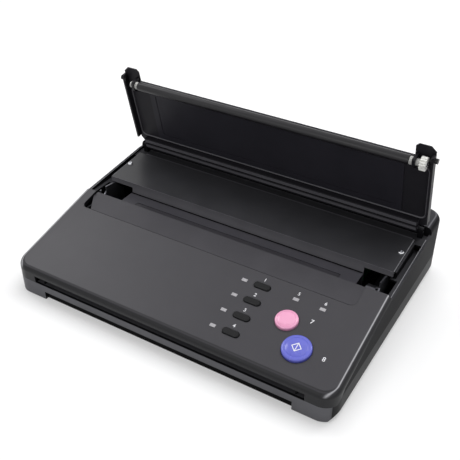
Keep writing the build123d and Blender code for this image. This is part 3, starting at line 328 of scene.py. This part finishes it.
def metal(name, colour, roughness, stretch=(1.0, 1.0, 40.0)):
    """Brushed or rolled metal with fine directional lines."""
    mat, tree, shader = new_material(name)
    mapping = tree.nodes.new("ShaderNodeMapping")
    mapping.inputs["Scale"].default_value = stretch
    tree.links.new(object_coords(tree), mapping.inputs["Vector"])
    lines = noise(tree, mapping.outputs["Vector"], 260.0, 3.0)
    tint = ramp_colour(tree, lines, [(0.2, shade(colour, 0.82)), (0.8, shade(colour, 1.08))])
    tree.links.new(tint, shader.inputs["Base Color"])
    tree.links.new(spread(tree, lines, roughness - 0.08, roughness + 0.1), shader.inputs["Roughness"])
    shader.inputs["Metallic"].default_value = 1.0
    bump(tree, shader, lines, 0.3, 0.00002)
    return mat


def rubber(name, colour, roughness, specular):
    """Ground roller rubber: fine lines round the roller and a dusty mottle."""
    mat, tree, shader = new_material(name)
    where = object_coords(tree)
    wave = tree.nodes.new("ShaderNodeTexWave")
    wave.inputs["Scale"].default_value = 420.0
    wave.inputs["Distortion"].default_value = 1.4
    tree.links.new(where, wave.inputs["Vector"])
    dust = noise(tree, where, 60.0, 4.0)
    tint = ramp_colour(tree, dust, [(0.3, shade(colour, 0.85)), (0.8, shade(colour, 1.35))])
    tree.links.new(tint, shader.inputs["Base Color"])
    tree.links.new(spread(tree, dust, roughness - 0.06, roughness + 0.08), shader.inputs["Roughness"])
    shader.inputs["Specular IOR Level"].default_value = specular
    bump(tree, shader, wave.outputs["Fac"], 0.2, 0.00002)
    return mat


def lamp_lens(name, colour):
    """An unlit light-pipe window: milky plastic with a mottled core."""
    mat, tree, shader = new_material(name)
    cells = noise(tree, object_coords(tree), 700.0)
    tint = ramp_colour(tree, cells, [(0.3, shade(colour, 0.75)), (0.7, colour)])
    tree.links.new(tint, shader.inputs["Base Color"])
    tree.links.new(spread(tree, cells, 0.25, 0.4), shader.inputs["Roughness"])
    return mat


def circuit_board(name):
    """Green solder mask over a grid of paler tracks."""
    mat, tree, shader = new_material(name)
    where = object_coords(tree)
    tracks = tree.nodes.new("ShaderNodeTexBrick")
    tracks.inputs["Scale"].default_value = 130.0
    tracks.inputs["Mortar Size"].default_value = 0.06
    tracks.inputs["Color1"].default_value = srgb(22, 92, 52)
    tracks.inputs["Color2"].default_value = srgb(28, 102, 58)
    tracks.inputs["Mortar"].default_value = srgb(60, 132, 78)
    tree.links.new(where, tracks.inputs["Vector"])
    tree.links.new(tracks.outputs["Color"], shader.inputs["Base Color"])
    tree.links.new(spread(tree, noise(tree, where, 50.0), 0.3, 0.45), shader.inputs["Roughness"])
    bump(tree, shader, tracks.outputs["Fac"], 0.3, 0.00004)
    return mat


def clear_glass(name):
    """Sheet glass with a faint green cast."""
    mat, tree, shader = new_material(name)
    where = object_coords(tree)
    cloud = noise(tree, where, 30.0)
    tint = ramp_colour(tree, cloud, [(0.3, srgb(205, 222, 220)), (0.7, srgb(225, 236, 235))])
    tree.links.new(tint, shader.inputs["Base Color"])
    tree.links.new(spread(tree, noise(tree, where, 80.0), 0.03, 0.08), shader.inputs["Roughness"])
    shader.inputs["Transmission Weight"].default_value = 0.9
    return mat


def printed(name, colour):
    """Pad-printed ink."""
    mat, tree, shader = new_material(name)
    ink = noise(tree, object_coords(tree), 1400.0)
    tint = ramp_colour(tree, ink, [(0.25, shade(colour, 0.85)), (0.6, colour)])
    tree.links.new(tint, shader.inputs["Base Color"])
    tree.links.new(spread(tree, ink, 0.4, 0.55), shader.inputs["Roughness"])
    return mat


# ---- places on the sloping and leaning pieces ----
def on_panel(x, v, lift=0.0):
    """The point at x and v along the panel's slope, lift above its surface."""
    along = Vector((0.0, math.cos(PANEL_SLOPE), math.sin(PANEL_SLOPE)))
    normal = Vector((0.0, -math.sin(PANEL_SLOPE), math.cos(PANEL_SLOPE)))
    return PANEL_ORIGIN + Vector((x, 0, 0)) + along * v + normal * lift


def panel_matrix(x, v, lift=0.0):
    return Matrix.Translation(on_panel(x, v, lift)) @ Matrix.Rotation(PANEL_SLOPE, 4, "X")


def cover_matrix():
    return Matrix.Translation(HINGE) @ Matrix.Rotation(COVER_LEAN, 4, "X")


def deck_top(y):
    return DECK_LEVEL + (y - DECK_FRONT) * math.tan(DECK_SLOPE)


mats = {
    # Tray: a pale colour for painted light on forward faces, black for painted shade elsewhere.
    "tray": tray_plastic("tray_plastic", srgb(100, 100, 104), srgb(20, 20, 22), 0.46, 0.12),
    # Housing and panel: top colour, a dark skirt colour that is painted shade, and a pale edge colour that
    # is a painted highlight.
    "housing": panel_plastic("housing_plastic", srgb(60, 60, 63), srgb(22, 22, 24), srgb(110, 110, 114),
                             0.5, 0.025),
    "panel": panel_plastic("panel_plastic", srgb(60, 59, 63), srgb(24, 24, 27), srgb(180, 180, 184),
                           0.38, 0.24),
    "cover": moulded("cover_plastic", srgb(37, 36, 40), 0.42, 0.08),
    "liner": moulded("liner_plastic", srgb(40, 39, 45), 0.42, 0.12, grain=900.0),
    "bracket": moulded("bracket_plastic", srgb(20, 19, 23), 0.4, 0.2),
    # Deck: a top colour, and a paler wall colour that is painted light.
    "deck": deck_plastic("deck_plastic", srgb(50, 50, 53), srgb(112, 111, 116), 0.335, 0.42),
    "ramp": moulded("ramp_plastic", srgb(60, 59, 63), 0.4, 0.22),
    "trough": moulded("trough_plastic", srgb(60, 59, 64), 0.42, 0.2),
    "bed": moulded("bed_plastic", srgb(78, 78, 82), 0.42, 0.3),
    "guide": moulded("guide_plastic", srgb(16, 16, 18), 0.5, 0.15),
    "white": moulded("acetal", srgb(242, 242, 238), 0.35, 0.5, ACETAL_GRAIN_SCALE),
    "bush": moulded("grey_acetal", srgb(176, 176, 173), 0.35, 0.4, ACETAL_GRAIN_SCALE),
    "black_acetal": moulded("black_acetal", srgb(20, 20, 22), 0.35, 0.3, ACETAL_GRAIN_SCALE),
    "key": moulded("key_plastic", srgb(16, 16, 18), 0.34, 0.22, FINE_GRAIN_SCALE, 0.00002),
    "fitting": moulded("fitting_plastic", srgb(16, 16, 18), 0.35, 0.3),
    "steel": metal("blackened_sheet", srgb(112, 112, 118), 0.42),
    "zinc": metal("zinc_sheet", srgb(176, 178, 182), 0.32),
    "shaft": metal("ground_bar", srgb(196, 197, 200), 0.22, stretch=(40.0, 1.0, 1.0)),
    "screw": metal("nickel", srgb(225, 226, 230), 0.24, stretch=(1.0, 1.0, 1.0)),
    "sink": metal("black_anodised_aluminium", srgb(40, 40, 44), 0.4, stretch=(0.05, 20.0, 20.0)),
    "roller": rubber("platen_skin", srgb(24, 23, 26), 0.36, 0.35),
    "feed": rubber("feed_skin", srgb(30, 30, 32), 0.6, 0.3),
    "foot": rubber("foot_rubber", srgb(18, 18, 19), 0.7, 0.2),
    "board": circuit_board("circuit_board"),
    "ceramic": moulded("dark_glaze", srgb(52, 51, 55), 0.3, 0.2, 500.0, 0.00001),
    "glass": clear_glass("sensor_glass_clear"),
    "lamp": lamp_lens("lamp_lens", srgb(168, 166, 170)),
    "stop": button_plastic("stop_tint", srgb(250, 216, 233), srgb(232, 160, 194),
                           STOP_RADIUS, on_panel(STOP_X, STOP_V)),
    "copy": button_plastic("copy_tint", srgb(138, 145, 228), srgb(92, 97, 196),
                           COPY_RADIUS, on_panel(COPY_X, COPY_V)),
    "ink": printed("white_ink", srgb(226, 226, 230)),
    # Pale tone for painted highlights and painted light on thin pieces.
    "bead": moulded("painted_highlight_tone", srgb(92, 91, 96), 0.34, 0.3, FINE_GRAIN_SCALE),
    # Pale tone for painted highlight lines along the deck and wall edges.
    "edge": moulded("painted_edge_highlight", srgb(120, 120, 124), 0.34, 0.3, FINE_GRAIN_SCALE),
    # Near black for painted shade in the finger recess and at the trough's rear.
    "gap": moulded("painted_shade_black", srgb(9, 9, 10), 0.7, 0.05),
}

# ---- the model's own nodes get their finish ----
node_material = {
    "tray": ["bottom_tray"],
    "housing": ["side_housing"],
    "panel": ["panel_cover"],
    "cover": ["cover_shell"],
    "liner": ["cover_liner"],
    "bracket": ["platen_brackets"],
    "deck": ["rear_deck"],
    "ramp": ["exit_ramp"],
    "trough": ["trough_floor"],
    "bed": ["document_bed"],
    "guide": ["front_guide", "rear_guide", "sensor_housing"],
    "white": ["platen_gear", "board_standoffs"],
    "bush": ["platen_bushes", "feed_bushes", "idler_gear"],
    "black_acetal": ["print_pinion", "feed_gear", "scan_pinion"],
    "key": ["mode_key_1", "mode_key_2", "mode_key_3", "mode_key_4"],
    "fitting": ["mains_inlet", "switch_bezel", "switch_rocker", "tact_switches",
                "latch_knob_left", "latch_knob_right"],
    "steel": ["side_frame_left", "side_frame_right", "head_beam", "print_motor", "scan_motor"],
    "zinc": ["head_springs", "sensor_springs"],
    "shaft": ["platen_shaft", "feed_shaft", "hinge_pins", "idler_pin"],
    "screw": ["deck_screws", "case_screws"],
    "sink": ["heat_sink"],
    "roller": ["platen_rubber"],
    "feed": ["feed_rubber"],
    "foot": ["rubber_feet"],
    "board": ["panel_board", "main_board", "power_board"],
    "ceramic": ["heater_board"],
    "glass": ["sensor_glass"],
    "lamp": ["lamp_windows"],
}
for finish, names in node_material.items():
    for name in names:
        for slot in nodes[name].material_slots:
            slot.material = mats[finish]


# ---- new pieces ----
def new_piece(name, data, matrix, body, mat):
    """A piece made from a mesh or curve, put in its place and riding on its body."""
    obj = bpy.data.objects.new(name, data)
    bpy.context.collection.objects.link(obj)
    obj.matrix_world = matrix
    data.materials.append(mat)
    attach(obj, body)
    return obj


def closed_mesh(name, mesh):
    """Mesh data from a closed bmesh, with its faces turned outwards."""
    bmesh.ops.recalc_face_normals(mesh, faces=mesh.faces)
    data = bpy.data.meshes.new(name)
    mesh.to_mesh(data)
    mesh.free()
    return data


def number(name, text, size, x, v):
    """A plain number, printed on the panel at x and v."""
    curve = bpy.data.curves.new(name, "FONT")
    curve.body = text
    curve.size = size
    curve.align_x = "CENTER"
    curve.align_y = "CENTER"
    curve.extrude = INK_HEIGHT
    curve.offset = INK_SPREAD
    curve.resolution_u = 4
    return new_piece(name, curve, panel_matrix(x, v, SKIN), "case", mats["ink"])


def stroke(name, points, width, matrix, body, mat, closed=True, height=0.00006):
    """A flat mitred line through points of X and Y, for signs and painted shadow lines made of straight
    strokes.
    """
    count = len(points)
    mesh = bmesh.new()
    rings = []
    for index, point in enumerate(points):
        here = Vector(point)
        before = Vector(points[index - 1]) if closed or index else None
        after = Vector(points[(index + 1) % count]) if closed or index < count - 1 else None
        into = (here - before).normalized() if before is not None else (after - here).normalized()
        out = (after - here).normalized() if after is not None else into
        side_a = Vector((-into.y, into.x))
        side_b = Vector((-out.y, out.x))
        miter = (side_a + side_b).normalized()
        reach = width / 2 / max(0.3, miter.dot(side_a))
        left, right = here + miter * reach, here - miter * reach
        corners = ((left, 0), (right, 0), (right, height), (left, height))
        rings.append([mesh.verts.new((p.x, p.y, z)) for p, z in corners])
    last = count if closed else count - 1
    for index in range(last):
        a, b = rings[index], rings[(index + 1) % count]
        for k in range(4):
            mesh.faces.new((a[k], a[(k + 1) % 4], b[(k + 1) % 4], b[k]))
    if not closed:
        mesh.faces.new(rings[0][::-1])
        mesh.faces.new(rings[-1])
    return new_piece(name, closed_mesh(name, mesh), matrix, body, mat)


def turned(name, profile, matrix, body, mat, sides=72):
    """A smooth round shape turned from its outline of radius and height."""
    mesh = bmesh.new()
    rings = []
    for radius, height in profile:
        if radius == 0:
            rings.append([mesh.verts.new((0, 0, height))] * sides)
            continue
        turns = [2 * math.pi * k / sides for k in range(sides)]
        rings.append([mesh.verts.new((radius * math.cos(t), radius * math.sin(t), height)) for t in turns])
    for low, high in zip(rings, rings[1:]):
        for k in range(sides):
            n = (k + 1) % sides
            corners = []
            for vert in (low[k], low[n], high[n], high[k]):
                if vert not in corners:
                    corners.append(vert)
            mesh.faces.new(corners).smooth = True
    data = closed_mesh(name, mesh)
    data.set_sharp_from_angle(angle=math.radians(50))
    return new_piece(name, data, matrix, body, mat)


def bead(name, points, radius, body, mat, closed=False, matrix=None):
    """A thin moulded bead along points."""
    curve = bpy.data.curves.new(name, "CURVE")
    curve.dimensions = "3D"
    curve.bevel_depth = radius
    curve.bevel_resolution = 3
    curve.use_fill_caps = True
    spline = curve.splines.new("POLY")
    spline.points.add(len(points) - 1)
    for point, place_at in zip(spline.points, points):
        point.co = (*place_at, 1.0)
    spline.use_cyclic_u = closed
    return new_piece(name, curve, matrix or Matrix.Identity(4), body, mat)


def along_x(name, section, half, body, mat, matrix=None):
    """A strip with the same section, points of Y and Z, from -half to half."""
    mesh = bmesh.new()
    near, far = [[mesh.verts.new((x, y, z)) for y, z in section] for x in (-half, half)]
    count = len(section)
    for k in range(count):
        n = (k + 1) % count
        mesh.faces.new((near[k], near[n], far[n], far[k]))
    mesh.faces.new(near)
    mesh.faces.new(far[::-1])
    return new_piece(name, closed_mesh(name, mesh), matrix or Matrix.Identity(4), body, mat)


def rounded_corners(low, high, radius, steps=6):
    """Points round a rectangle with rounded corners, from its low and high X and Y."""
    centres = ((high[0] - radius, high[1] - radius), (low[0] + radius, high[1] - radius),
               (low[0] + radius, low[1] + radius), (high[0] - radius, low[1] + radius))
    points = []
    for quarter, (cx, cy) in enumerate(centres):
        for k in range(steps + 1):
            turn = math.radians(90 * quarter + 90 * k / steps)
            points.append((cx + radius * math.cos(turn), cy + radius * math.sin(turn)))
    return points


# ---- the two round buttons and the copy sign ----
def push_button(name, radius, x, v, body, mat, node):
    """A domed button with a rolled rim and a shallow ring, standing in its hole in the panel."""
    top = BUTTON_TOP
    turns = [math.radians(a) for a in range(0, 91, 15)]
    roll = [(radius - BUTTON_ROLL * (1 - math.cos(t)), top - BUTTON_CROWN - BUTTON_ROLL * (1 - math.sin(t)))
            for t in turns]
    ring = radius * RING_SHARE
    dome = [(ring + RING_WIDTH, top - DOME_FALL), (ring, top - RING_DEPTH),
            (ring - RING_WIDTH, top - DOME_FALL), (ring * 0.5, top - DOME_FALL / 4), (0, top)]
    profile = [(0, BUTTON_FOOT), (radius, BUTTON_FOOT)] + roll + dome
    button = turned(name, profile, panel_matrix(x, v), body, mat)
    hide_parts(node)


push_button("stop_cap", STOP_RADIUS, STOP_X, STOP_V, "stop", mats["stop"], "stop_button")
push_button("copy_cap", COPY_RADIUS, COPY_X, COPY_V, "copy", mats["copy"], "copy_button")
stroke("copy_sign", [(-SIGN, 0), (0, -SIGN), (SIGN, 0), (0, SIGN)], SIGN_WIDTH,
       panel_matrix(COPY_X, COPY_V, BUTTON_TOP - 0.00004), "copy", mats["ink"])
sign_bar = SIGN * SIGN_BAR_SHARE
stroke("copy_sign_bar", [(0, -sign_bar), (0, sign_bar)], SIGN_BAR_WIDTH,
       panel_matrix(COPY_X, COPY_V, BUTTON_TOP - 0.00003), "copy", mats["ink"], closed=False)

# ---- plain numbers beside the keys, lamps and buttons ----
for row in range(KEY_ROWS):
    v = FIRST_ROW - KEY_PITCH * row + KEY_NUMBER_RISE
    number("key_number_%d" % (row + 1), str(row + 1), KEY_NUMBER_SIZE, KEY_X + KEY_NUMBER_SHIFT, v)
for count, x in enumerate(LAMP_NUMBER_X, KEY_ROWS + 1):
    number("lamp_number_%d" % count, str(count), LAMP_NUMBER_SIZE, x, FIRST_ROW + LAMP_NUMBER_RISE)
number("stop_number_7", "7", BUTTON_NUMBER_SIZE, STOP_NUMBER_X, STOP_NUMBER_V)
number("copy_number_8", "8", BUTTON_NUMBER_SIZE, COPY_NUMBER_X, COPY_NUMBER_V)

# ---- beads, edge lines, caps and strips: pale ones are painted highlights and light, black ones are painted shade ----
# Pale frame line round the cover's inside: a painted highlight.
frame_line = [(x, y, COVER_INNER) for x, y in
              rounded_corners((-FRAME_X, -FRAME_REACH[1]), (FRAME_X, -FRAME_REACH[0]), FRAME_CORNER)]
bead("cover_frame_bead", frame_line, FRAME_RADIUS, "cover", mats["bead"], True, cover_matrix())
# Pale lines along the top edges of the deck and the side walls: painted highlights.
for side, name in ((-1, "left"), (1, "right")):
    deck_line = [(side * (DECK_HALF - 0.0003), y, deck_top(y) - 0.00025)
                 for y in (DECK_FRONT + 0.0008, DECK_REAR)]
    bead("deck_edge_" + name, deck_line, EDGE_RADIUS, "case", mats["edge"])
    wall_line = [(side * WALL_EDGE_X, y, z) for y, z in WALL_EDGE]
    bead("wall_edge_" + name, wall_line, EDGE_RADIUS, "case", mats["edge"])

# Pale strip on the hinge floor: painted light where that floor lies in shade.
cut_y, cut_z = STRIP_CUT
strip_section = [(STRIP_FRONT, HINGE_FLOOR), (STRIP_REAR, HINGE_FLOOR), (STRIP_REAR, STRIP_TOP - cut_z),
                 (STRIP_REAR - cut_y, STRIP_TOP), (STRIP_FRONT + cut_y, STRIP_TOP),
                 (STRIP_FRONT, STRIP_TOP - cut_z)]
along_x("hinge_floor_strip", strip_section, STRIP_HALF, "case", mats["bead"])
# Pale caps on the cover's hinge bars: painted highlights on their lit edges.
for name, low, high in CAP_REACHES:
    cap_section = [(-high, CAP_SEAT), (-high, CAP_FACE), (-low, CAP_FACE), (-low, CAP_SEAT)]
    along_x("cover_bar_cap_" + name, cap_section, CAP_HALF, "cover", mats["bead"],
            cover_matrix())

# Painted shade: a black sheet set into the finger recess.
shade_sheet_section = [(RECESS_BACK, SHADE_SHEET_LOW), (SHADE_SHEET_FACE + SHADE_SHEET_LOW_CUT, SHADE_SHEET_LOW),
                 (SHADE_SHEET_FACE, SHADE_SHEET_LOW + SHADE_SHEET_LOW_CUT), (SHADE_SHEET_FACE, SHADE_SHEET_TOP - SHADE_SHEET_TOP_CUT),
                 (SHADE_SHEET_FACE + SHADE_SHEET_TOP_CUT, SHADE_SHEET_TOP), (RECESS_BACK, SHADE_SHEET_TOP)]
along_x("recess_shade_sheet", shade_sheet_section, RECESS_HALF, "case", mats["gap"])
# Painted shade: a thin black line where the trough meets the deck wall.
stroke("trough_shadow_line", [(-SHADOW_LINE_HALF, 0), (SHADOW_LINE_HALF, 0)], SHADOW_LINE_WIDTH,
       Matrix.Translation((0, TROUGH_REAR - 0.0001, TROUGH_LEVEL)), "case", mats["gap"],
       closed=False, height=SHADOW_LINE_HEIGHT)

# ---- stage: floor, world, lights and camera ----
FLOOR_SIZE = 12.0
FLOOR_DROP = 0.0002
FLOOR_LIFT, FLOOR_LIFT_FAR = 0.36, 0.78
LIFT_NEAR, LIFT_FAR = 0.7, 2.6
WORLD_LEVEL = 0.42
WHITE = (1, 1, 1, 1)

# Each light's name, location, target, size and power in watts.
LIGHTS = (
    ("key_light", (0.1, 0.45, 1.5), (-0.02, 0, 0.05), (1.3, 1.1), 18.0),
    ("fill_light", (-0.2, -1.3, 0.7), (0, 0, 0.05), (0.9, 0.6), 2.6),
    ("sheen_light", (-1.05, 0.2, 1.25), (-0.1, 0, 0.05), (0.5, 0.5), 3.7),
    ("edge_light", (0.5, 0.8, 1.1), (0.1, 0, 0.05), (0.18, 0.7), 2.5),
)
CAMERA_LOCATION = (0.3145, -0.5199, 0.4892)
CAMERA_DIRECTION = (-0.42247, 0.69757, -0.57872)
CAMERA_LENS = 58.72
CAMERA_SENSOR = 36.0


def looking(direction):
    """The rotation that points a light or a camera along direction."""
    return Vector(direction).to_track_quat("-Z", "Y").to_euler()


def seen_directly(tree):
    """1 for camera, mirror and see-through rays, 0 for those that light the object."""
    path = tree.nodes.new("ShaderNodeLightPath")
    total = path.outputs["Is Camera Ray"]
    for name in ("Is Transmission Ray", "Is Glossy Ray"):
        total = calculate(tree, "MAXIMUM", total, path.outputs[name])
    return total


def floor_material():
    """Pale paper, lifted towards white with distance so that it runs into the background."""
    mat, tree, shader = new_material("studio_floor")
    where = object_coords(tree)
    cloud = noise(tree, where, 3.0)
    tint = ramp_colour(tree, cloud, [(0.3, (0.6, 0.6, 0.605, 1)), (0.7, (0.62, 0.62, 0.625, 1))])
    tree.links.new(tint, shader.inputs["Base Color"])
    shader.inputs["Roughness"].default_value = 0.85
    shader.inputs["Specular IOR Level"].default_value = 0.1
    shader.inputs["Emission Color"].default_value = WHITE
    reach = tree.nodes.new("ShaderNodeVectorMath")
    reach.operation = "LENGTH"
    tree.links.new(where, reach.inputs[0])
    lift = spread(tree, reach.outputs["Value"], FLOOR_LIFT, FLOOR_LIFT_FAR, LIFT_NEAR, LIFT_FAR)
    seen_lift = calculate(tree, "MULTIPLY", seen_directly(tree), lift)
    tree.links.new(seen_lift, shader.inputs["Emission Strength"])
    return mat


bpy.ops.mesh.primitive_plane_add(size=FLOOR_SIZE, location=(0, 0, -FLOOR_DROP))
floor = bpy.context.object
floor.name = "studio_floor"
floor.data.materials.append(floor_material())

world = bpy.data.worlds.new("studio")
bpy.context.scene.world = world
world.use_nodes = True
background = world.node_tree.nodes["Background"]
background.inputs["Color"].default_value = WHITE
level = spread(world.node_tree, seen_directly(world.node_tree), WORLD_LEVEL, 1.0, 0.0, 1.0)
world.node_tree.links.new(level, background.inputs["Strength"])

for name, location, target, size, power in LIGHTS:
    light = bpy.data.lights.new(name, "AREA")
    light.shape = "RECTANGLE"
    light.size, light.size_y = size
    light.energy = power
    obj = bpy.data.objects.new(name, light)
    obj.location = location
    obj.rotation_euler = looking(Vector(target) - Vector(location))
    bpy.context.collection.objects.link(obj)
bpy.data.objects["key_light"].visible_glossy = False

camera_data = bpy.data.cameras.new("camera")
camera_data.lens = CAMERA_LENS
camera_data.sensor_width = CAMERA_SENSOR
camera = bpy.data.objects.new("camera", camera_data)
camera.location = CAMERA_LOCATION
camera.rotation_euler = looking(CAMERA_DIRECTION)
bpy.context.collection.objects.link(camera)
bpy.context.scene.camera = camera
bpy.context.scene.view_settings.view_transform = "Standard"
